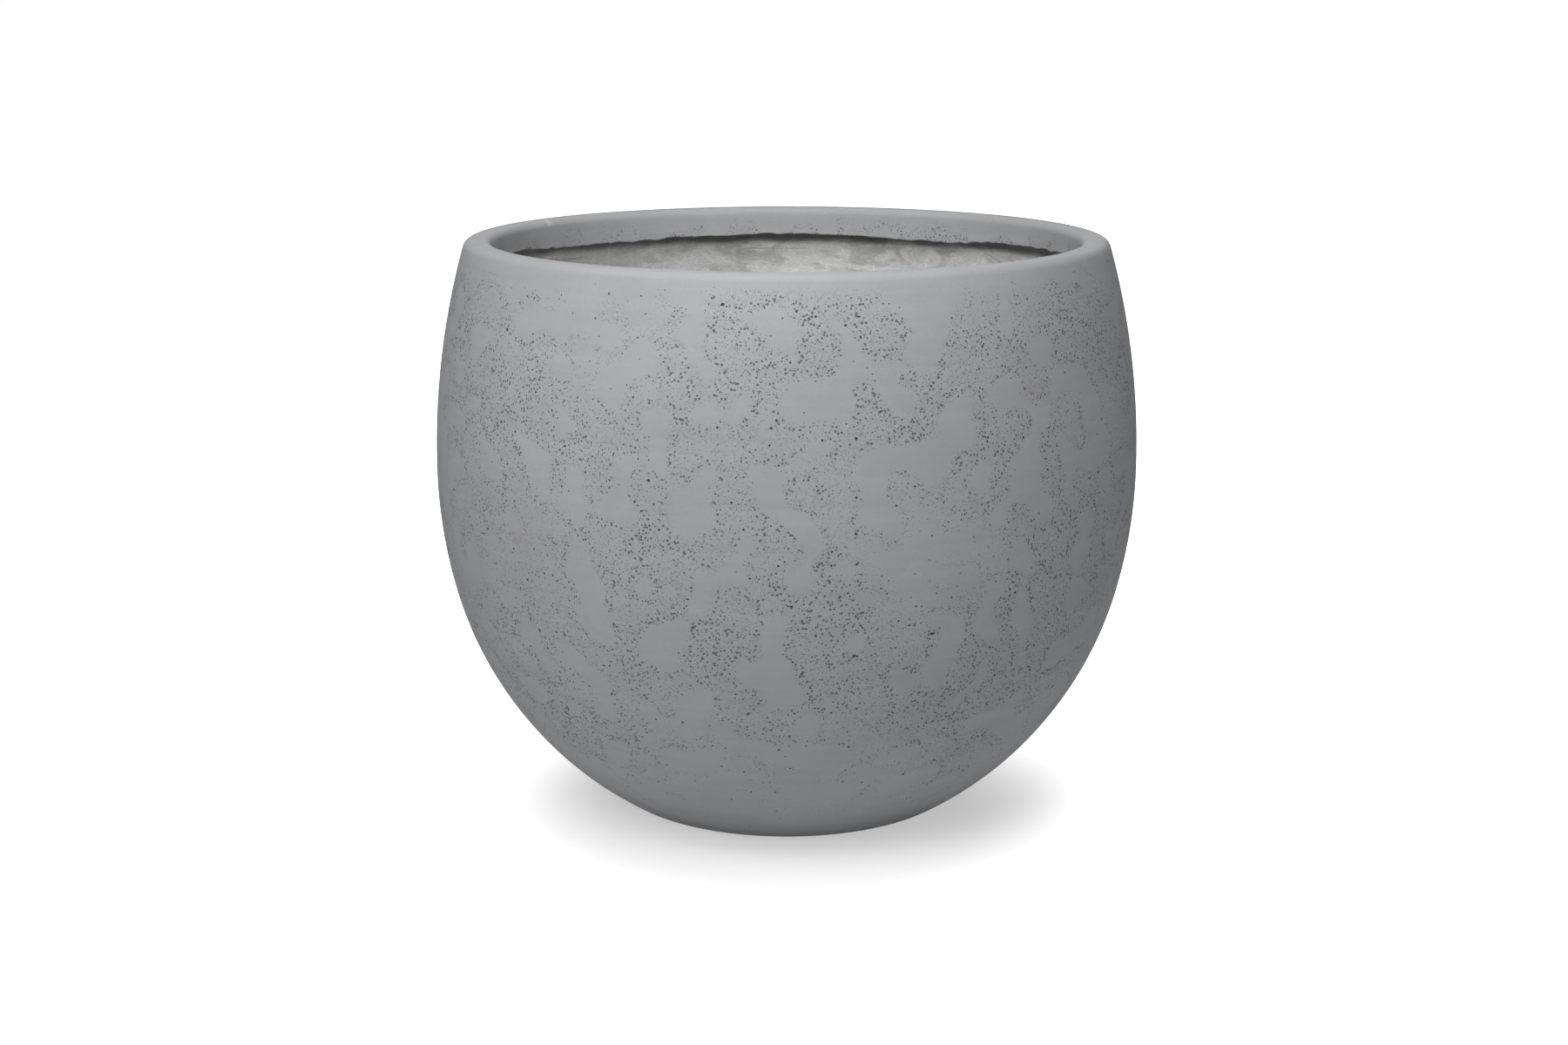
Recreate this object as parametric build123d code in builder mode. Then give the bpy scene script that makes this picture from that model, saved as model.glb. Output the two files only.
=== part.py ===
from build123d import *
from math import asin, cos, degrees, radians, sin
import os

# Bowl shaped floor planter in stone composite over glass fibre, with a rolled rim and a drain
# bung. Millimetres, +Z up, origin at the middle of the ground face.

# Outer form of the bowl
height = 483.0
belly_radius = 300.0
belly_height = 290.0
rim_radius = 270.5
shoulder_curve = 418.0  # radius of the wall's curve just below the belly
shoulder_turn = 14.3  # degrees of that curve, before the wall turns in faster
base_radius = 151.5
base_edge_round = 5.5

# Walls
skin_thickness = 5.0
lining_thickness = 4.0
bond_line = 0.3  # resin film between the layers
lay_up_round = 20.0  # the laminate rounds the corner between floor and wall

# Foot
foot_ring_width = 24.0
foot_recess = 2.5
foot_recess_draft = 2.5  # the recess widens by this much towards the ground

# Rolled rim
rim_width = 22.0
rim_outer_round = 8.0
rim_inner_round = 6.5
return_depth = 25.2  # mean depth of the inner return below the rim
return_edge_waves = ((2, 1.3, 18.0), (5, 1.7, 115.0), (9, 0.5, 20.0))  # waves, height, degrees
return_edge_points = 40

# Drain hole and its rubber bung
drain_radius = 15.0
bung_clearance = 0.3
bung_flange_radius = 21.0
bung_flange_height = 4.0
bung_flange_round = 1.5
bung_shank_taper = 1.2  # the shank's foot is smaller than its neck by this much in radius
bung_rib_height = 1.1
bung_rib_start = 1.5  # the first rib grips this far below the flange
bung_rib_pitch = 3.0
bung_ribs = 2
bung_end_gap = 0.8  # the shank stops this far above the recessed underside
bung_hollow_radius = 8.0
bung_hollow_depth = 7.0
grip_length = 24.0
grip_width = 5.0
grip_height = 11.0
grip_round = 2.0

# Arcs of the wall, each tangent to the next: rim to belly, shoulder, and down to the base. The
# upper curve is negative where the rim is wider than the belly and the wall flares outwards.
rim_inset = belly_radius - rim_radius
upper_curve = ((height - belly_height) ** 2 + rim_inset**2) / (2 * rim_inset)
upper_centre = Vector(belly_radius - upper_curve, belly_height)
shoulder_centre = Vector(belly_radius - shoulder_curve, belly_height)
shoulder_normal = Vector(cos(radians(shoulder_turn)), -sin(radians(shoulder_turn)))
shoulder_end = shoulder_centre + shoulder_normal * shoulder_curve
base_to_shoulder = shoulder_end - Vector(base_radius, 0)
lower_curve = base_to_shoulder.length**2 / (2 * base_to_shoulder.dot(shoulder_normal))
lower_centre = shoulder_end - shoulder_normal * lower_curve

# Levels
skin_floor = foot_recess + skin_thickness
lining_underside = skin_floor + bond_line
lining_floor = lining_underside + lining_thickness
channel_top = height - skin_thickness
channel_fill_top = channel_top - bond_line
bung_top = lining_floor + bung_flange_height
bung_end = foot_recess + bung_end_gap

# Radii and insets from the mould face
lining_back_inset = skin_thickness + bond_line
lining_face_inset = lining_back_inset + lining_thickness
core_back_inset = lining_face_inset + bond_line
foot_ring_radius = base_radius - foot_ring_width
return_inner_radius = rim_radius - rim_width
return_outer_radius = return_inner_radius + skin_thickness
core_inner_radius = return_outer_radius + bond_line
deepest_return = height - return_depth - sum(size for count, size, phase in return_edge_waves)
bung_rib_radius = drain_radius - bung_clearance
bung_neck_radius = bung_rib_radius - bung_rib_height
bung_foot_radius = bung_neck_radius - bung_shank_taper
trim_margin = 2.0  # how far a cutting tool reaches past the piece it trims


def draw_upper_wall(inset, low, high):
    """Draw the wall above the belly at an inset from the mould face, and return its end points."""
    low_angle, high_angle = (asin((z - belly_height) / (upper_curve - inset)) for z in (low, high))
    points = [
        upper_centre + Vector(cos(angle), sin(angle)) * (upper_curve - inset)
        for angle in (low_angle, (low_angle + high_angle) / 2, high_angle)
    ]
    ThreePointArc(*points)
    return points[0], points[-1]


def draw_wall(inset, low, high):
    """Draw the whole wall at an inset from the mould face, and return its end points."""
    low_angle = degrees(asin((low - lower_centre.Y) / (lower_curve - inset)))
    lower = CenterArc(lower_centre, lower_curve - inset, low_angle, -shoulder_turn - low_angle)
    CenterArc(shoulder_centre, shoulder_curve - inset, -shoulder_turn, shoulder_turn)
    belly, top = draw_upper_wall(inset, belly_height, high)
    return lower @ 0, top


def corner(section, radius, level):
    """The corner of a section at this radius and level."""
    return section.vertices().sort_by_distance((radius, level))[0]


def return_edge(radius):
    """Closed wavy line of the return's trimmed lower edge, on a cylinder of this radius."""
    points = []
    for step in range(return_edge_points):
        angle = radians(360 * step / return_edge_points)
        level = height - return_depth
        for count, size, phase in return_edge_waves:
            level += size * cos(count * angle - radians(phase))
        points.append((radius * cos(angle), radius * sin(angle), level))
    with BuildLine() as line:
        Spline(points, periodic=True)
    return line.wire()


def below_return_edge(inner_radius, outer_radius):
    """Everything between two radii that lies below the return's wavy edge."""
    trimmed_face = Face.make_surface_from_curves(return_edge(inner_radius), return_edge(outer_radius))
    with BuildPart() as offcut:
        extrude(trimmed_face, amount=return_depth, dir=(0, 0, -1))
    return offcut.part


# Cast skin: foot, wall, rim and inner return in one section turned round the axis
with BuildPart() as outer_skin:
    with BuildSketch(Plane.XZ) as skin_section:
        with BuildLine():
            foot, rim = draw_wall(0, 0, height)
            inner_foot, channel_wall = draw_wall(skin_thickness, skin_floor, channel_top)
            Polyline(
                rim,
                (return_inner_radius, height),
                (return_inner_radius, deepest_return - trim_margin),
                (return_outer_radius, deepest_return - trim_margin),
                (return_outer_radius, channel_top),
                channel_wall,
            )
            Polyline(
                inner_foot,
                (drain_radius, skin_floor),
                (drain_radius, foot_recess),
                (foot_ring_radius - foot_recess_draft, foot_recess),
                (foot_ring_radius, 0),
                foot,
            )
        make_face()
        fillet(corner(skin_section, foot.X, foot.Y), base_edge_round)
        fillet(corner(skin_section, rim.X, rim.Y), rim_outer_round)
        fillet(corner(skin_section, return_inner_radius, height), rim_inner_round)
    revolve(axis=Axis.Z)
    below_skin_return = below_return_edge(
        return_inner_radius - trim_margin, return_outer_radius + trim_margin
    )
    add(below_skin_return, mode=Mode.SUBTRACT)
outer_skin.part.label = "outer_skin"

# Laminate laid over the back of the skin, floor and wall, up into the channel of the rim
with BuildPart() as fibreglass_lining:
    with BuildSketch(Plane.XZ) as lining_section:
        with BuildLine():
            back_foot, back_top = draw_wall(lining_back_inset, lining_underside, channel_fill_top)
            face_foot, face_top = draw_wall(lining_face_inset, lining_floor, channel_fill_top)
            Line(back_top, face_top)
            Polyline(
                face_foot,
                (drain_radius, lining_floor),
                (drain_radius, lining_underside),
                back_foot,
            )
        make_face()
        fillet(corner(lining_section, face_foot.X, face_foot.Y), lay_up_round)
    revolve(axis=Axis.Z)
fibreglass_lining.part.label = "fibreglass_lining"

# Filled resin that packs the channel between the lining and the return, trimmed with the return
with BuildPart() as rim_core:
    with BuildSketch(Plane.XZ) as core_section:
        with BuildLine():
            core_foot, core_top = draw_upper_wall(
                core_back_inset, deepest_return - trim_margin, channel_fill_top
            )
            Polyline(
                core_top,
                (core_inner_radius, channel_fill_top),
                (core_inner_radius, deepest_return - trim_margin),
                core_foot,
            )
        make_face()
    revolve(axis=Axis.Z)
    add(below_return_edge(core_inner_radius - trim_margin, belly_radius), mode=Mode.SUBTRACT)
rim_core.part.label = "rim_core"

# Rubber bung: flange on the floor, tapered ribbed shank in the drain hole, hollow underside
with BuildPart() as drain_plug:
    with BuildSketch(Plane.XZ) as bung_section:
        with BuildLine():
            Polyline(
                (0, bung_top),
                (bung_flange_radius, bung_top),
                (bung_flange_radius, lining_floor),
                (bung_neck_radius, lining_floor),
                (bung_foot_radius, bung_end),
                (bung_hollow_radius, bung_end),
                (bung_hollow_radius, bung_end + bung_hollow_depth),
                (0, bung_end + bung_hollow_depth),
                close=True,
            )
        make_face()
        fillet(corner(bung_section, bung_flange_radius, bung_top), bung_flange_round)
        for rib in range(bung_ribs):
            rib_top = lining_floor - bung_rib_start - rib * bung_rib_pitch
            with BuildLine():
                Polyline(
                    (bung_foot_radius, rib_top),
                    (bung_rib_radius, rib_top),
                    (bung_foot_radius, rib_top - bung_rib_pitch),
                    close=True,
                )
            make_face()
    revolve(axis=Axis.Z)
    with BuildSketch(Plane.XY.offset(bung_top)):
        SlotOverall(grip_length, grip_width)
    extrude(amount=grip_height)
    fillet(faces().sort_by(Axis.Z)[-1].edges(), grip_round)
drain_plug.part.label = "drain_plug"

os.makedirs("parts", exist_ok=True)
for piece in (outer_skin, fibreglass_lining, rim_core, drain_plug):
    export_step(piece.part, f"parts/{piece.part.label}.step")
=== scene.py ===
import math
import random

import bmesh
import bpy
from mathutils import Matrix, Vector, noise


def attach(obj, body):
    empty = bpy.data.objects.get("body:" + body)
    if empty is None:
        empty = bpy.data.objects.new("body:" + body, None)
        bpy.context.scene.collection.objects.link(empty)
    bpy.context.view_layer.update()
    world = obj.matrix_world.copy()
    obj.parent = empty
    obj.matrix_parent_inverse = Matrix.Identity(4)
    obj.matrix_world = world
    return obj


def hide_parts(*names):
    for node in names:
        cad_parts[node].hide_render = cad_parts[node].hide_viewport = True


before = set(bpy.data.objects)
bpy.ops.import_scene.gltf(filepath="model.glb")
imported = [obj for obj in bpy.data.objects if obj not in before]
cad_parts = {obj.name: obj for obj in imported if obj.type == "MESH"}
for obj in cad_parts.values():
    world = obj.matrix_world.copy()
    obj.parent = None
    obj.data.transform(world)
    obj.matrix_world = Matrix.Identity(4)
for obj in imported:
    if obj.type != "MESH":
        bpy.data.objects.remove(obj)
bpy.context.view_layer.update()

# Camera: a 50 mm lens about 1.85 m from the planter and 0.68 m above the floor, which looks a
# little down, so that the far side of the rim shows over the near one.
camera_place = Vector((-0.00225, -1.851, 0.679))
camera_target = Vector((-0.00225, 0.0, 0.2325))
camera_data = bpy.data.cameras.new("studio_camera")
camera_data.lens = 50
camera_data.sensor_width = 36
camera = bpy.data.objects.new("studio_camera", camera_data)
camera.location = camera_place
camera.rotation_euler = (camera_target - camera_place).to_track_quat("-Z", "Y").to_euler()
bpy.context.scene.collection.objects.link(camera)
bpy.context.scene.camera = camera
bpy.context.scene.view_settings.view_transform = "Standard"

# Floor: a plain white studio floor. To the camera it glows past white everywhere but in a painted
# shadow round the pot, inside which the pot's own soft shade shows.
# The camera sees it brighter than the light it throws back, so the pot stays dark underneath.
floor_size = 60
floor_grey = (0.6, 0.6, 0.6, 1)
floor_bounce = 0.15
floor_shine = 0.46
shade_middle = (0, -0.1, 0)
shadow_fade_start, shadow_fade_end = 0.14, 0.42


class Signal:
    """One output socket, with the operators that shader maths needs."""

    def __init__(self, tree, socket):
        self.tree, self.socket = tree, socket

    def node(self, kind, settings, links, output=0):
        """Another node of this tree, with its settings and its sockets' values or links."""
        made = self.tree.nodes.new(kind)
        for name, value in settings.items():
            setattr(made, name, value)
        for name, value in links.items():
            if isinstance(value, Signal):
                self.tree.links.new(value.socket, made.inputs[name])
            else:
                made.inputs[name].default_value = value
        return Signal(self.tree, made.outputs[output])

    def math(self, operation, *others, clamp=False):
        settings = {"operation": operation, "use_clamp": clamp}
        return self.node("ShaderNodeMath", settings, dict(enumerate((self, *others))))

    def __add__(self, other):
        return self.math("ADD", other)

    __radd__ = __add__

    def __mul__(self, other):
        return self.math("MULTIPLY", other)

    __rmul__ = __mul__

    def __sub__(self, other):
        return self.math("SUBTRACT", other)

    def __rsub__(self, other):
        return self.node("ShaderNodeMath", {"operation": "SUBTRACT"}, {0: other, 1: self})

    def between(self, low, high):
        """0 at low and 1 at high, smooth and clamped; low may be the larger."""
        links = {"Value": self, "From Min": low, "From Max": high}
        return self.node("ShaderNodeMapRange", {"interpolation_type": "SMOOTHSTEP"}, links)

    def grey(self):
        """A grey of this brightness."""
        return self.node("ShaderNodeCombineColor", {}, {0: self, 1: self, 2: self})

    def colour(self, value):
        """One colour, in this tree."""
        made = self.node("ShaderNodeRGB", {}, {})
        made.socket.default_value = value
        return made

    def mix(self, other, share):
        """This colour, blended to another by a share from 0 to 1."""
        links = {0: share, 6: self, 7: other}
        return self.node("ShaderNodeMix", {"data_type": "RGBA"}, links, output=2)

    def times(self, value):
        """This colour or vector times a value or a vector."""
        if isinstance(value, Signal):
            value = value.node("ShaderNodeCombineXYZ", {}, {0: value, 1: value, 2: value})
        settings = {"operation": "MULTIPLY"}
        return self.node("ShaderNodeVectorMath", settings, {0: self, 1: value})

    def noise(self, scale, detail=2.0, rough=0.5, warp=0.0):
        """Cloud noise over this place, from about -0.5 to 0.5."""
        links = {"Vector": self, "Scale": scale, "Detail": detail, "Roughness": rough,
                 "Distortion": warp}
        return self.node("ShaderNodeTexNoise", {}, links) - 0.5

    def cells(self, scale, feature="F1"):
        """Distance to the middle of the nearest cell over this place, or to its edge."""
        links = {"Vector": self, "Scale": scale}
        return self.node("ShaderNodeTexVoronoi", {"feature": feature}, links)

    def from_point(self, point):
        """Distance of this place from a point."""
        return self.node("ShaderNodeVectorMath", {"operation": "DISTANCE"}, {0: self, 1: point}, 1)

    def marked(self, name):
        """What the mesh itself says under this name."""
        return self.node("ShaderNodeAttribute", {"attribute_name": name}, {}, 2)

    def relief(self, strength, distance):
        """The surface's normal, where this is the height of its relief."""
        links = {"Height": self, "Strength": strength, "Distance": distance}
        return self.node("ShaderNodeBump", {}, links)


def place_on(tree):
    """The place on a piece, in metres, for its patterns."""
    return Signal(tree, tree.nodes.new("ShaderNodeTexCoord").outputs["Object"])


bpy.ops.mesh.primitive_plane_add(size=floor_size)
floor = bpy.context.object
floor.name = "studio_floor"
floor_paint = bpy.data.materials.new("white_floor")
floor_paint.use_nodes = True
floor_tree = floor_paint.node_tree
floor_shader = floor_tree.nodes["Principled BSDF"]
floor_shader.inputs["Base Color"].default_value = floor_grey
floor_shader.inputs["Roughness"].default_value = 1
floor_shader.inputs["Specular IOR Level"].default_value = 0
floor_shader.inputs["Emission Strength"].default_value = 1
floor_place = place_on(floor_tree)
# Painted shadow: the glow that the camera sees fades out towards a point just in front of the pot.
shadow_fade = floor_place.from_point(shade_middle).between(shadow_fade_start, shadow_fade_end)
seen = floor_place.node("ShaderNodeLightPath", {}, {})
shine = seen * (shadow_fade + (floor_shine - floor_bounce)) + floor_bounce
floor_tree.links.new(shine.grey().socket, floor_shader.inputs["Emission Color"])
floor.data.materials.append(floor_paint)

# Lights: two large soft boxes, high in front and at the front left, and a weak one at the right.
# A small one close to the rim lifts the shoulder of the bowl, a narrow one reaches its inside over
# the near rim, and one behind keeps the back from going dark.
lit_point = Vector((0, 0, 0.25))
studio_distance = 2.6
studio_box = 1.6


def towards(azimuth, tilt):
    """A place at this direction from the pot: azimuth 0 is in front, and + is to the right."""
    turn, tilt = math.radians(azimuth), math.radians(tilt)
    return lit_point + studio_distance * Vector(
        (math.sin(turn) * math.cos(tilt), -math.cos(turn) * math.cos(tilt), math.sin(tilt))
    )


def soft_box(name, place, aim, size, power, spread=180):
    """A square soft box at a place, turned to what it is aimed at; spread in degrees."""
    light_data = bpy.data.lights.new(name, "AREA")
    light_data.size = size
    light_data.energy = power
    light_data.spread = math.radians(spread)
    light = bpy.data.objects.new(name, light_data)
    light.location = place
    light.rotation_euler = (Vector(place) - Vector(aim)).to_track_quat("Z", "Y").to_euler()
    light.visible_camera = False
    bpy.context.scene.collection.objects.link(light)


soft_box("top_soft_box", towards(0, 65), lit_point, studio_box, 41)
soft_box("left_soft_box", towards(-30, 40), lit_point, studio_box, 32)
soft_box("right_soft_box", towards(80, 30), lit_point, studio_box, 6)
soft_box("back_soft_box", towards(180, 32), lit_point, studio_box, 12)
soft_box("shoulder_soft_box", (-0.38, -0.64, 1.05), (0, -0.25, 0.45), 0.4, 1.0)
soft_box("mouth_soft_box", (0.05, -0.5, 0.8), (0, 0.26, 0.42), 0.25, 0.12, spread=55)

# Backdrop: white to the camera, but it throws no light on the pot.
room = bpy.data.worlds.new("white_room")
room.use_nodes = True
room_nodes = room.node_tree.nodes
backdrop = Signal(room.node_tree, room_nodes.new("ShaderNodeLightPath").outputs["Is Camera Ray"])
room.node_tree.links.new(backdrop.grey().socket, room_nodes["Background"].inputs["Color"])
bpy.context.scene.world = room

# Outer skin: stone powder in resin, cast in a bowl mould turned on a wheel. It is the wall, the
# foot ring, the rolled rim and the rim's inner return in one casting 5 mm thick. Air bubbles
# against the mould left thousands of pinholes, thick in some patches and none in others.
mm = 0.001
height = 483.0 * mm
belly_radius = 299.8 * mm  # a hair inside the mould face, so the wall stays in the pot's own box
belly_height = 290.0 * mm
rim_radius = 270.3 * mm
shoulder_curve = 418.0 * mm
shoulder_turn = math.radians(14.3)
base_radius = 151.5 * mm
base_edge_round = 5.5 * mm
skin_thickness = 5.0 * mm
bond_line = 0.3 * mm
foot_recess = 2.5 * mm
foot_ring_radius = 127.5 * mm
foot_recess_draft = 2.5 * mm
rim_outer_round = 8.0 * mm
rim_inner_round = 6.5 * mm
return_inner_radius = 248.5 * mm
return_depth = 25.2 * mm
return_waves = ((2, 1.3, 18), (5, 1.7, 115), (9, 0.5, 20))  # count, height in mm, degrees
return_edge_wear = 1.7 * mm
edge_break = 0.7 * mm
drain_radius = 15.0 * mm
wall_columns = 384
wall_row = 4.7 * mm
hidden_row = 30 * mm

rim_inset = belly_radius - rim_radius
upper_curve = ((height - belly_height) ** 2 + rim_inset**2) / (2 * rim_inset)
upper_centre = Vector((belly_radius - upper_curve, belly_height))
shoulder_centre = Vector((belly_radius - shoulder_curve, belly_height))
shoulder_normal = Vector((math.cos(shoulder_turn), -math.sin(shoulder_turn)))
shoulder_end = shoulder_centre + shoulder_normal * shoulder_curve
base_to_shoulder = shoulder_end - Vector((base_radius, 0))
lower_curve = base_to_shoulder.length_squared / (2 * base_to_shoulder.dot(shoulder_normal))
lower_centre = shoulder_end - shoulder_normal * lower_curve
channel_top = height - skin_thickness
skin_floor = foot_recess + skin_thickness
edge_level = height - return_depth
return_outer_radius = return_inner_radius + skin_thickness


def wall_radius(level, inset=0.0):
    """Radius of the wall at a level, at an inset from the mould face."""
    if level > belly_height:
        centre, curve = upper_centre, upper_curve
    elif level > belly_height - (shoulder_curve - inset) * math.sin(shoulder_turn):
        centre, curve = shoulder_centre, shoulder_curve
    else:
        centre, curve = lower_centre, lower_curve
    return centre.x + math.sqrt((curve - inset) ** 2 - (level - centre.y) ** 2)


def wall_points(low, high, spacing, inset=0.0):
    """Points along the wall from one level to another, about one spacing apart."""
    fine_steps = 2000
    levels = (low + (high - low) * step / fine_steps for step in range(fine_steps + 1))
    track = [(wall_radius(level, inset), level) for level in levels]
    travelled = [0.0]
    for one, other in zip(track, track[1:]):
        travelled.append(travelled[-1] + math.dist(one, other))
    count = max(1, round(travelled[-1] / spacing))
    points = []
    for number in range(count + 1):
        goal = travelled[-1] * number / count
        nearest = min(range(fine_steps + 1), key=lambda step: abs(travelled[step] - goal))
        points.append(track[nearest])
    return points


def arc(centre, radius, start, end, steps):
    """Points of an arc between two angles in degrees, both ends in."""
    angles = (math.radians(start + (end - start) * step / steps) for step in range(steps + 1))
    return [(centre[0] + radius * math.cos(a), centre[1] + radius * math.sin(a)) for a in angles]


def line(start, end, steps):
    """Points between two points, both left out."""
    return [tuple(Vector(start).lerp(Vector(end), n / steps)) for n in range(1, steps)]


def direction(centre, point):
    """Direction from the centre of a wall's curve to a point of the section, in degrees."""
    return math.degrees(math.atan2(point[1] - centre.y, point[0] - centre.x))


def choose(piece):
    """Makes this the one selected piece."""
    bpy.ops.object.select_all(action="DESELECT")
    bpy.context.view_layer.objects.active = piece
    piece.select_set(True)


def turned_piece(name, section, columns):
    """A section of (radius, level) points, drawn point by point and spun round the axis."""
    bpy.ops.object.select_all(action="DESELECT")
    bpy.ops.mesh.primitive_plane_add(size=mm)
    piece = bpy.context.object
    piece.name = name
    bpy.ops.object.mode_set(mode="EDIT")
    bpy.ops.mesh.select_mode(type="VERT")
    bpy.ops.mesh.select_all(action="SELECT")
    bpy.ops.mesh.merge(type="CENTER")
    place = Vector((section[0][0], 0, section[0][1]))
    bpy.ops.transform.translate(value=place)
    for radius, level in section[1:]:
        step = Vector((radius, 0, level)) - place
        bpy.ops.mesh.extrude_region_move(TRANSFORM_OT_translate={"value": step})
        place += step
    bpy.ops.mesh.select_all(action="SELECT")
    bpy.ops.mesh.spin(steps=columns, angle=2 * math.pi, center=(0, 0, 0), axis=(0, 0, 1))
    bpy.ops.mesh.select_all(action="SELECT")
    bpy.ops.mesh.remove_doubles(threshold=0.001 * mm)
    bpy.ops.mesh.normals_make_consistent(inside=False)
    bpy.ops.object.mode_set(mode="OBJECT")
    return piece


base_centre = (wall_radius(base_edge_round, base_edge_round), base_edge_round)
base_arc = arc(base_centre, base_edge_round, -90, direction(lower_centre, base_centre), 5)
rim_level = height - rim_outer_round
rim_centre = (wall_radius(rim_level, rim_outer_round), rim_level)
rim_arc = arc(rim_centre, rim_outer_round, direction(upper_centre, rim_centre), 90, 8)
inner_rim_level = height - rim_inner_round
inner_rim_centre = (return_inner_radius + rim_inner_round, inner_rim_level)
inner_rim_arc = arc(inner_rim_centre, rim_inner_round, 90, 180, 7)
skin_section = (
    base_arc
    + wall_points(base_arc[-1][1], rim_arc[0][1], wall_row)[1:-1]
    + rim_arc
    + line(rim_arc[-1], inner_rim_arc[0], 3)
    + inner_rim_arc
    + line(inner_rim_arc[-1], (return_inner_radius, edge_level), 6)
    + [
        (return_inner_radius, edge_level + edge_break),
        (return_inner_radius + edge_break, edge_level),
        (return_outer_radius - edge_break, edge_level),
        (return_outer_radius, edge_level + edge_break),
        (return_outer_radius, channel_top),
    ]
    + wall_points(channel_top, skin_floor, hidden_row, skin_thickness)
    + [
        (drain_radius, skin_floor),
        (drain_radius, foot_recess),
        (foot_ring_radius - foot_recess_draft, foot_recess),
        (foot_ring_radius, 0),
        base_arc[0],
    ]
)
skin = turned_piece("stone_skin", skin_section, wall_columns)

# The return's lower edge was trimmed by hand. The saw slipped once, at the back on the right, and
# left a dip that ends in a step.
slip_azimuth = 52
slip_start, slip_deepest, slip_end = -7, -1, 1.5  # degrees from there
slip_run = 8
slip_depth = 1.7 * mm


def return_level(angle):
    """Level of the return's trimmed lower edge, at an angle round the pot."""
    level = edge_level
    for count, size, phase in return_waves:
        level += size * mm * math.cos(count * angle - math.radians(phase))
    round_place = Vector((math.cos(angle), math.sin(angle), 0))
    nicks = noise.noise(round_place * 19) + 0.6 * noise.noise(round_place * 47)
    level += return_edge_wear * nicks
    past_slip = math.degrees(angle) - slip_azimuth
    if slip_start < past_slip < slip_end:
        level -= slip_depth * (1 - abs(past_slip - slip_deepest) / slip_run)
    return level


for vertex in skin.data.vertices:
    radius, level = math.hypot(vertex.co.x, vertex.co.y), vertex.co.z
    if radius < return_outer_radius + mm and edge_level - mm < level < inner_rim_level:
        share = (inner_rim_level - level) / (inner_rim_level - edge_level)
        trimmed = return_level(math.atan2(vertex.co.y, vertex.co.x))
        vertex.co.z = inner_rim_level - share * (inner_rim_level - trimmed)

# The larger pinholes are real pits: a face of the wall is set in, its corners drawn in to the
# pinhole's mouth, and the mouth pushed into the wall. The smallest ones are left to the finish, as
# dents with painted shade in them.
pinhole_draw = random.Random(11)
pinhole_share = 0.325
pinhole_sizes = ((0.62, 1.0), (0.28, 1.35), (0.085, 1.8), (0.015, 2.4))  # share, width in mm
pinhole_low, pinhole_high = 14 * mm, 474 * mm
cell_half_width, cell_half_height = 2.2 * mm, 2.1 * mm
cell_margin = 0.3 * mm
pit_slope = 0.14 * mm
pit_depth = 0.95 * mm
island_size = 27 * mm
patch_size = 105 * mm


def airiness(place):
    """How thick the pinholes lie at a place, from 0 to 1: patches of them round smooth islands."""
    level = place.z / mm
    island = noise.noise(place / island_size)
    shore = math.exp(-(((island - 0.02) / 0.15) ** 2))
    inland = min(1, max(0, (island - 0.06) / 0.28))
    patch = 0.84 + 0.5 * noise.noise(place / patch_size + Vector((3, 7, 1)))
    low = min(1, max(0, (level - 4) / 115)) ** 0.8
    high = min(1, max(0, (480 - level) / 22)) ** 0.7
    thick = (0.40 + 0.34 * shore) * (1 - 0.85 * inland) * patch
    return min(1, max(0, thick)) * low * high


def row_and_column(face):
    """Which row of the wall a face is in and which column, so that draws come in a set order."""
    middle = face.calc_center_median()
    turn = math.atan2(middle.y, middle.x) / (2 * math.pi)
    return round(middle.z / mm), math.floor(turn * wall_columns)


choose(skin)
bpy.ops.object.mode_set(mode="EDIT")
bpy.ops.mesh.select_mode(type="FACE")
bpy.ops.mesh.select_all(action="DESELECT")
skin_mesh = bmesh.from_edit_mesh(skin.data)
holed = []
for face in sorted(skin_mesh.faces, key=row_and_column):
    middle = face.calc_center_median()
    outside = math.hypot(middle.x, middle.y) > wall_radius(min(middle.z, height), mm)
    if outside and pinhole_low < middle.z < pinhole_high:
        if pinhole_draw.random() < pinhole_share * airiness(middle):
            holed.append(face)
widths = []
for face in holed:
    pick = pinhole_draw.random()
    for share, width in pinhole_sizes:
        pick -= share
        if pick < 0:
            break
    widths.append(width * mm * pinhole_draw.uniform(0.85, 1.15))
    face.select_set(True)
bmesh.update_edit_mesh(skin.data)
bpy.ops.mesh.inset(thickness=cell_margin, use_individual=True)
skin_mesh = bmesh.from_edit_mesh(skin.data)
mouths = sorted((face for face in skin_mesh.faces if face.select), key=row_and_column)
for face, width in zip(mouths, widths):
    middle, normal = face.calc_center_median(), face.normal.copy()
    along = normal.cross(Vector((0, 0, 1))).normalized()
    up = normal.cross(along)
    narrowing = math.hypot(middle.x, middle.y) / belly_radius
    room_along = max(0, cell_half_width * narrowing - width * 0.6)
    room_up = max(0, cell_half_height - width * 0.6)
    middle += along * pinhole_draw.uniform(-room_along, room_along)
    middle += up * pinhole_draw.uniform(-room_up, room_up)
    turn = pinhole_draw.uniform(-0.5, 0.5)
    longer = pinhole_draw.uniform(0.8, 1.25)
    corners = list(face.verts)
    start = min(range(4), key=lambda number: (corners[number].co - middle).dot(along + up))
    order = 1 if (corners[(start + 1) % 4].co - middle).dot(along) > 0 else -1
    for number in range(4):
        angle = turn + math.pi * 5 / 4 + order * number * math.pi / 2
        reach = width * 0.62 * pinhole_draw.uniform(0.85, 1.12)
        corners[(start + number) % 4].co = (
            middle + along * (reach * math.cos(angle) * longer) + up * (reach * math.sin(angle))
        )
bmesh.update_edit_mesh(skin.data)
bpy.ops.mesh.inset(thickness=pit_slope, depth=-pit_depth, use_individual=True)
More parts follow.
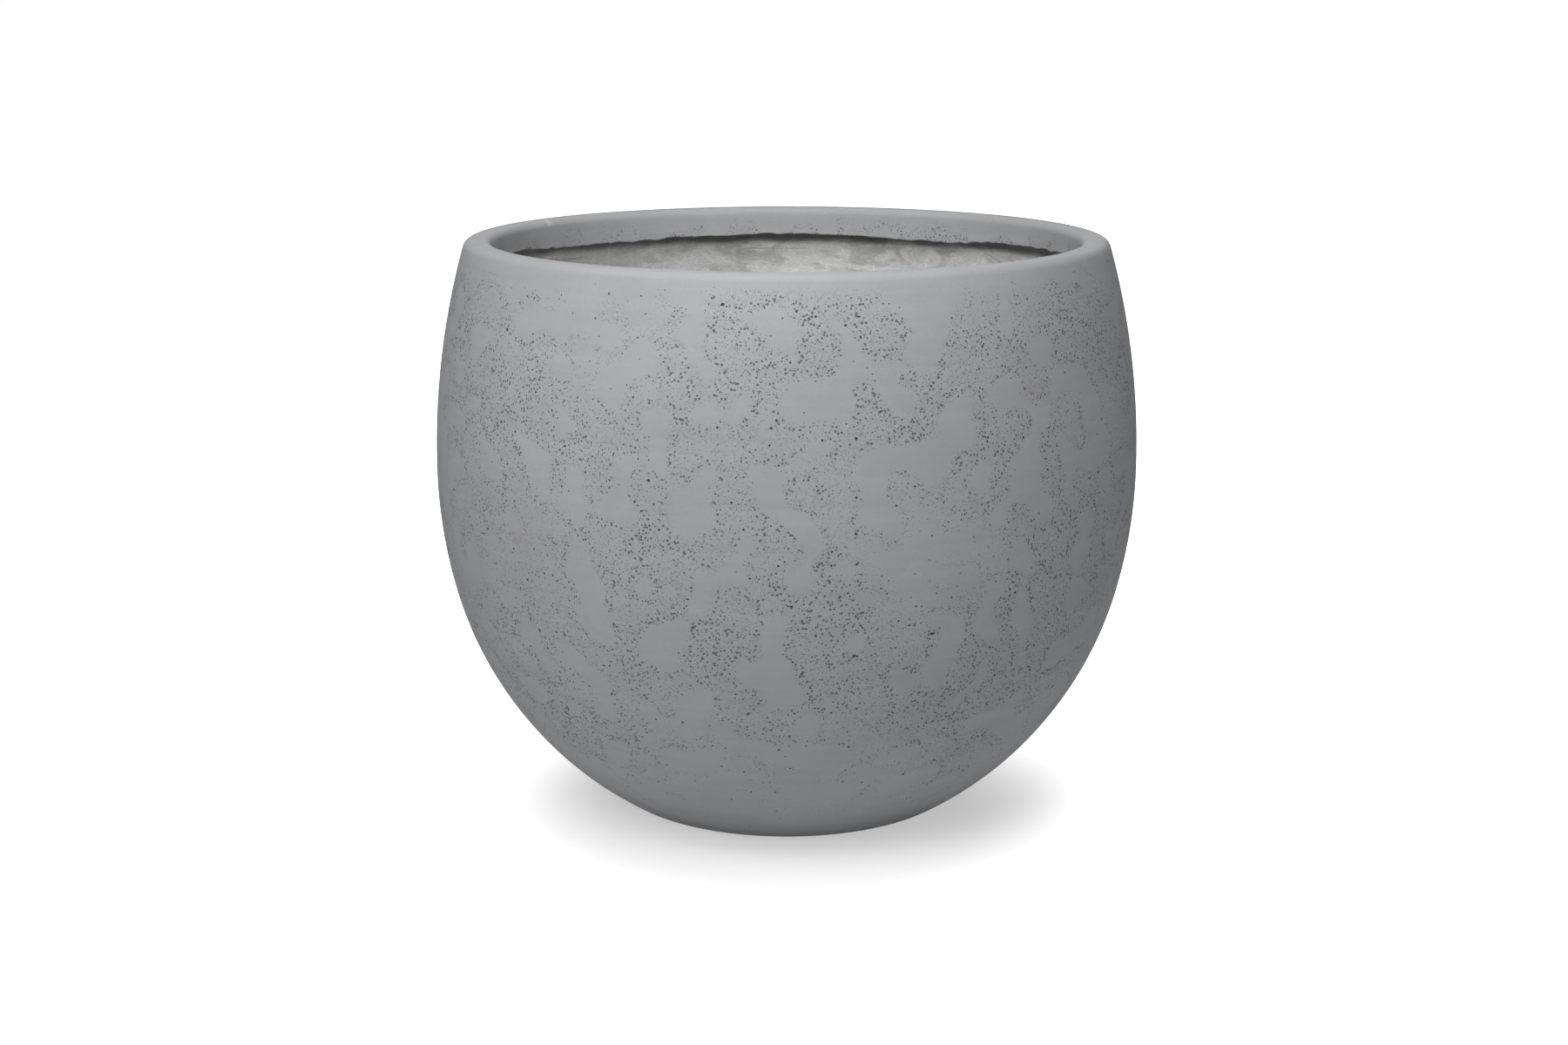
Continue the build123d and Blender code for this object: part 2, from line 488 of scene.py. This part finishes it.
skin_mesh = bmesh.from_edit_mesh(skin.data)
# The mark says how dark the finish paints each pit, its floor fully and its sides less: painted
# shade, with some dirt.
pinhole_mark = skin_mesh.faces.layers.float.new("pinhole")
floors = [face for face in skin_mesh.faces if face.select]
for face in floors:
    for edge in face.edges:
        for side in edge.link_faces:
            side[pinhole_mark] = 0.75
for face in floors:
    face[pinhole_mark] = 1.0
airiness_mark = skin_mesh.verts.layers.float.new("airiness")
for vertex in skin_mesh.verts:
    vertex[airiness_mark] = airiness(vertex.co)
bmesh.update_edit_mesh(skin.data)
bpy.ops.mesh.select_all(action="DESELECT")
bpy.ops.object.mode_set(mode="OBJECT")
bpy.ops.object.shade_smooth_by_angle(angle=math.radians(32))


def finish_of(name, rough):
    """A matt finish: its material, its shader and the place on the piece."""
    paint = bpy.data.materials.new(name)
    paint.use_nodes = True
    shader = paint.node_tree.nodes["Principled BSDF"]
    shader.inputs["Roughness"].default_value = rough
    return paint, shader, place_on(paint.node_tree)


def wear_finish(shader, **sockets):
    """Links what changes over a surface to the shader's sockets."""
    for name, signal in sockets.items():
        signal.tree.links.new(signal.socket, shader.inputs[name.replace("_", " ")])


# Cast stone: cool grey, cloudy, with faint level lines from the mould's turning. The pits are
# painted dark, as painted shade with some dirt, and the specks are painted shade; the rim has a
# pale chip in front and a pale smear at the back.
stone_grey = (0.345, 0.349, 0.361, 1)
# The pinholes' colour: painted shade, with some dirt.
pinhole_shade_and_dirt = (0.085, 0.086, 0.09, 1)
chip_light = (0.56, 0.56, 0.55, 1)
chip_place = (0.243, -0.109, 0.4805)
smear_place = (-0.214, 0.127, 0.4815)
stone_paint, stone_shader, stone_place = finish_of("cast_stone", 0.82)
stone_shader.inputs["Specular IOR Level"].default_value = 0.3
broad_clouds = stone_place.noise(9, 3, 0.55) * 0.16
small_clouds = stone_place.noise(34, 3, 0.6, 0.6) * 0.10
clouds = broad_clouds + small_clouds
fine_lines = stone_place.times((7, 7, 150)).noise(1, 3, 0.6) * 0.13
broad_lines = stone_place.times((3, 3, 46)).noise(1, 2) * 0.1
turned_lines = fine_lines + broad_lines
grain = stone_place.noise(620, 3, 0.7)
tone = 1 + clouds + turned_lines + grain * 0.16
airy = stone_place.marked("airiness")
# Small pinholes too small to model: dents in the relief with painted shade in them.
small_pinhole_size = stone_place.noise(150, 1) * 0.35 + airy.between(0.0, 0.62) * 0.345
small_pinhole_dents_and_shade = (small_pinhole_size - stone_place.cells(330)).between(-0.02, 0.10)
# The finest pinholes: painted shade as dark dots, thickest where the pinholes lie thickest.
finest_pinhole_size = airy.between(0.0, 0.4) * 0.33
finest_pinhole_shade = (finest_pinhole_size - stone_place.cells(560)).between(-0.02, 0.10) * 0.5
# Pits, specks and finest dots all go to the dark pinhole colour: painted shade, with some dirt in
# the pits.
dark = stone_place.marked("pinhole").math("MAXIMUM", small_pinhole_dents_and_shade * 0.85)
dark = dark.math("MAXIMUM", finest_pinhole_shade, clamp=True)
ragged = stone_place.noise(260, 2) * (6 * mm)
chip = (stone_place.from_point(chip_place) + ragged).between(3.4 * mm, 2.2 * mm)
smear = (stone_place.from_point(smear_place) + ragged).between(6 * mm, 2 * mm) * 0.5
stone_colour = stone_place.colour(stone_grey).times(tone).mix(pinhole_shade_and_dirt, dark)
stone_colour = stone_colour.mix(chip_light, chip.math("MAXIMUM", smear))
stone_relief = grain * 0.22 + clouds * 1.5 + turned_lines * 1.2 - small_pinhole_dents_and_shade * 0.9
wear_finish(
    stone_shader,
    Base_Color=stone_colour,
    Normal=stone_relief.relief(0.35, 0.8 * mm),
    Roughness=grain * 0.15 + 0.82,
)
skin.data.materials.append(stone_paint)
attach(skin, "planter")
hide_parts("outer_skin")

# Fibreglass lining: chopped glass mat in resin, laid by hand over the back of the skin, up into
# the channel of the rim. Its bare face is the rough, blotchy inside of the pot.
lining_thickness = 4.0 * mm
lay_up_round = 20.0 * mm
lining_columns = 288
lining_row = 5.0 * mm
lining_wave = 1.3 * mm
deepest_wave = 0.6 * mm
plain_by_drain = 8 * mm
plain_from = 450 * mm  # the channel of the rim, where the filler sits against the lining
floor_bend = 60 * mm
lining_back = skin_thickness + bond_line
lining_face = lining_back + lining_thickness
lining_underside = skin_floor + bond_line
lining_floor = lining_underside + lining_thickness
fill_top = channel_top - bond_line
round_level = lining_floor + lay_up_round
round_centre = (wall_radius(round_level, lining_face + lay_up_round), round_level)
lay_up_turn = direction(lower_centre, round_centre)
lay_up_arc = arc(round_centre, lay_up_round, -90, lay_up_turn, 7)
lining_section = (
    [(drain_radius, lining_underside)]
    + wall_points(lining_underside, fill_top, hidden_row, lining_back)
    + wall_points(fill_top, lay_up_arc[-1][1], lining_row, lining_face)
    + lay_up_arc[-2::-1]
    + line(lay_up_arc[0], (drain_radius, lining_floor), 24)
    + [(drain_radius, lining_floor), (drain_radius, lining_underside)]
)
lining = turned_piece("fibreglass_inside", lining_section, lining_columns)
for vertex in lining.data.vertices:
    place = vertex.co.copy()
    radius = math.hypot(place.x, place.y)
    bare_face = radius < wall_radius(place.z, lining_face - mm) - 0.1 * mm
    if radius > drain_radius + plain_by_drain + mm and bare_face and place.z < plain_from:
        inward = Vector((0, 0, 1))
        if place.z > floor_bend:
            inward = Vector((-place.x, -place.y, 0)).normalized()
        swell = noise.fractal(place / (30 * mm), 1, 2.2, 4, noise_basis="PERLIN_ORIGINAL")
        flow = noise.noise(Vector((place.x, place.y, place.z * 2.4)) / (9 * mm))
        free = min(1, (radius - drain_radius - plain_by_drain) / (12 * mm))
        lift = lining_wave * free * (0.45 + swell + 0.35 * flow)
        vertex.co = place + inward * max(-deepest_wave, lift)
choose(lining)
bpy.ops.object.shade_smooth_by_angle(angle=math.radians(60))

laminate_grey = (0.80, 0.795, 0.79, 1)
resin_dark = (0.43, 0.427, 0.424, 1)
fibre_light = (0.95, 0.948, 0.945, 1)
under_rim_shade_colour = (0.07, 0.07, 0.072, 1)  # painted shade on the lining under the rim filler, where the collar shades it
under_rim_shade_low, under_rim_shade_high = 445 * mm, 452.5 * mm
groove_level = 441.5 * mm
laminate_paint, laminate_shader, laminate_place = finish_of("bare_laminate", 0.6)
laminate_shader.inputs["Specular IOR Level"].default_value = 0.4
flow_place = laminate_place.times((1, 1, 2.2))
smears = flow_place.noise(26, 5, 0.62, 1.2).between(-0.06, 0.16)
bright = flow_place.noise(17, 4, 0.6, 0.8).between(0.02, 0.22)
fibres = flow_place.noise(170, 4, 0.75, 2.4)
strands = flow_place.cells(70, "DISTANCE_TO_EDGE").between(0.12, 0.0)
height_up = laminate_place.node("ShaderNodeSeparateXYZ", {}, {0: laminate_place}, 2)
# A thin broken groove in the lining: a real dent in the relief, with painted shade in it in the
# colour.
groove_dent_and_shade = (height_up - groove_level + laminate_place.noise(20) * (3 * mm)).math("ABSOLUTE")
groove_dent_and_shade = groove_dent_and_shade.between(0.9 * mm, 0.3 * mm) * laminate_place.noise(7).between(0.0, 0.05)
# Painted shade: the lining darkened in a ragged band just under the collar, where the return
# shades it.
under_rim_shade = (height_up + laminate_place.noise(24, 3) * (7 * mm)).between(under_rim_shade_low, under_rim_shade_high)
laminate_colour = laminate_place.colour(laminate_grey).mix(fibre_light, bright * 0.75)
laminate_colour = laminate_colour.mix(resin_dark, smears * 0.7)
laminate_colour = laminate_colour.times(1 + fibres * 0.7 + strands * 0.1)
laminate_colour = laminate_colour.mix(resin_dark, groove_dent_and_shade * 0.6)
laminate_colour = laminate_colour.mix(under_rim_shade_colour, under_rim_shade * 0.85)
laminate_relief = fibres * 1.0 + smears * 0.5 + strands * 0.3 - groove_dent_and_shade
wear_finish(
    laminate_shader,
    Base_Color=laminate_colour,
    Normal=laminate_relief.relief(0.8, 1.2 * mm),
    Roughness=0.62 - smears * 0.2 + fibres * 0.2,
)
lining.data.materials.append(laminate_paint)
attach(lining, "planter")
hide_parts("fibreglass_lining")

# Rim core: filled resin poured into the channel behind the return, trimmed with it by the same
# saw, so that its rough underside follows the return's edge.
core_inner_radius = return_outer_radius + bond_line
core_back = lining_face + bond_line
core_columns = 288
core_foot = 3 * mm
core_bottom = (core_inner_radius, edge_level)
core_back_bottom = (wall_radius(edge_level, core_back), edge_level)
core_section = (
    [(core_inner_radius, fill_top), (core_inner_radius, edge_level + core_foot), core_bottom]
    + line(core_bottom, core_back_bottom, 4)
    + [core_back_bottom, (wall_radius(edge_level + core_foot, core_back), edge_level + core_foot)]
    + [(wall_radius(fill_top, core_back), fill_top), (core_inner_radius, fill_top)]
)
core = turned_piece("rim_filler", core_section, core_columns)
for vertex in core.data.vertices:
    place = vertex.co
    if place.z < edge_level + mm:
        small_pits = 0.7 * mm * noise.noise(place / (4 * mm))
        broad_pits = 0.5 * mm * noise.noise(place / (11 * mm))
        trimmed = return_level(math.atan2(place.y, place.x))
        vertex.co.z = trimmed + abs(small_pits + broad_pits)
choose(core)
bpy.ops.object.shade_smooth_by_angle(angle=math.radians(40))

filler_grey = (0.45, 0.44, 0.42, 1)
filler_paint, filler_shader, filler_place = finish_of("filled_resin", 0.85)
crumbs = filler_place.noise(420, 4, 0.7)
filler_tone = 1 + crumbs * 0.6 + filler_place.noise(60, 3) * 0.3
wear_finish(
    filler_shader,
    Base_Color=filler_place.colour(filler_grey).times(filler_tone),
    Normal=crumbs.relief(0.8, mm),
)
core.data.materials.append(filler_paint)
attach(core, "planter")
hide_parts("rim_core")

# Drain bung: moulded black rubber, pushed into the drain hole from above. Two ribs on its
# tapered, hollow shank grip the hole, and a bar on its flange lifts it out.
flange_radius = 21.0 * mm
flange_height = 4.0 * mm
flange_round = 1.5 * mm
flange_foot_round = 0.5 * mm
bung_clearance = 0.3 * mm
rib_height = 1.1 * mm
rib_start = 1.5 * mm
rib_pitch = 3.0 * mm
ribs = 2
shank_taper = 1.2 * mm
taper_to_rib = 0.3 * mm
hollow_radius, hollow_depth = 8.0 * mm, 7.0 * mm
grip_length, grip_width, grip_height = 24.0 * mm, 5.0 * mm, 11.0 * mm
grip_round = 2.0 * mm
bung_columns = 96
rib_radius = drain_radius - bung_clearance
neck_radius = rib_radius - rib_height
shank_foot_radius = neck_radius - shank_taper
bung_end = foot_recess + 0.8 * mm
bung_top = lining_floor + flange_height
flange_rounding = (flange_radius - flange_round, bung_top - flange_round)
flange_foot_rounding = (flange_radius - flange_foot_round, lining_floor + flange_foot_round)
bung_section = [(0, bung_top), (9 * mm, bung_top), (16 * mm, bung_top)]
bung_section += arc(flange_rounding, flange_round, 90, 0, 5)
bung_section += arc(flange_foot_rounding, flange_foot_round, 0, -90, 2)
bung_section += [(neck_radius + 0.3 * mm, lining_floor), (neck_radius, lining_floor - 0.4 * mm)]
for rib in range(ribs):
    rib_level = lining_floor - rib_start - rib_pitch * rib
    bung_section += [
        (neck_radius - taper_to_rib * rib, rib_level),
        (rib_radius - 0.25 * mm, rib_level),
        (rib_radius, rib_level - 0.25 * mm),
        (rib_radius - 0.2 * mm, rib_level - 0.6 * mm),
    ]
bung_section += [
    (shank_foot_radius, lining_floor - 7.2 * mm),
    (shank_foot_radius - 0.5 * mm, bung_end),
    (hollow_radius + 0.5 * mm, bung_end),
    (hollow_radius, bung_end + 0.5 * mm),
    (hollow_radius - 0.2 * mm, bung_end + hollow_depth - mm),
    (hollow_radius - 1.2 * mm, bung_end + hollow_depth),
    (0, bung_end + hollow_depth),
]
bung = turned_piece("rubber_bung", bung_section, bung_columns)
bpy.ops.object.select_all(action="DESELECT")
grip_root = mm  # the grip goes this far into the flange
bpy.ops.mesh.primitive_cylinder_add(
    vertices=32,
    radius=grip_width / 2,
    depth=grip_height + grip_root,
    location=(0, 0, bung_top + (grip_height - grip_root) / 2),
)
grip = bpy.context.object
bpy.ops.object.mode_set(mode="EDIT")
grip_mesh = bmesh.from_edit_mesh(grip.data)
straight_half = (grip_length - grip_width) / 2
for vertex in grip_mesh.verts:
    off_middle = abs(vertex.co.x) > 0.0001 * mm
    vertex.co.x += math.copysign(straight_half, vertex.co.x) if off_middle else 0
bpy.ops.mesh.select_all(action="DESELECT")
for edge in grip_mesh.edges:
    edge.select_set(all(vertex.co.z > 0 for vertex in edge.verts))
bmesh.update_edit_mesh(grip.data)
bpy.ops.mesh.bevel(offset=grip_round, segments=4, affect="EDGES")
bpy.ops.object.mode_set(mode="OBJECT")
bpy.ops.object.transform_apply(location=True)
bung.select_set(True)
bpy.context.view_layer.objects.active = bung
bpy.ops.object.join()
bpy.ops.object.shade_smooth_by_angle(angle=math.radians(30))

rubber_black = (0.028, 0.028, 0.030, 1)
rubber_bloom = (0.07, 0.07, 0.072, 1)
rubber_paint, rubber_shader, rubber_place = finish_of("moulded_rubber", 0.55)
bloom = rubber_place.noise(140, 3).between(-0.05, 0.3)
wear_finish(
    rubber_shader,
    Base_Color=rubber_place.colour(rubber_black).mix(rubber_bloom, bloom * 0.6),
    Normal=rubber_place.noise(1600, 2).relief(0.3, 0.3 * mm),
    Roughness=bloom * 0.15 + 0.5,
)
bung.data.materials.append(rubber_paint)
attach(bung, "bung")
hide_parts("drain_plug")
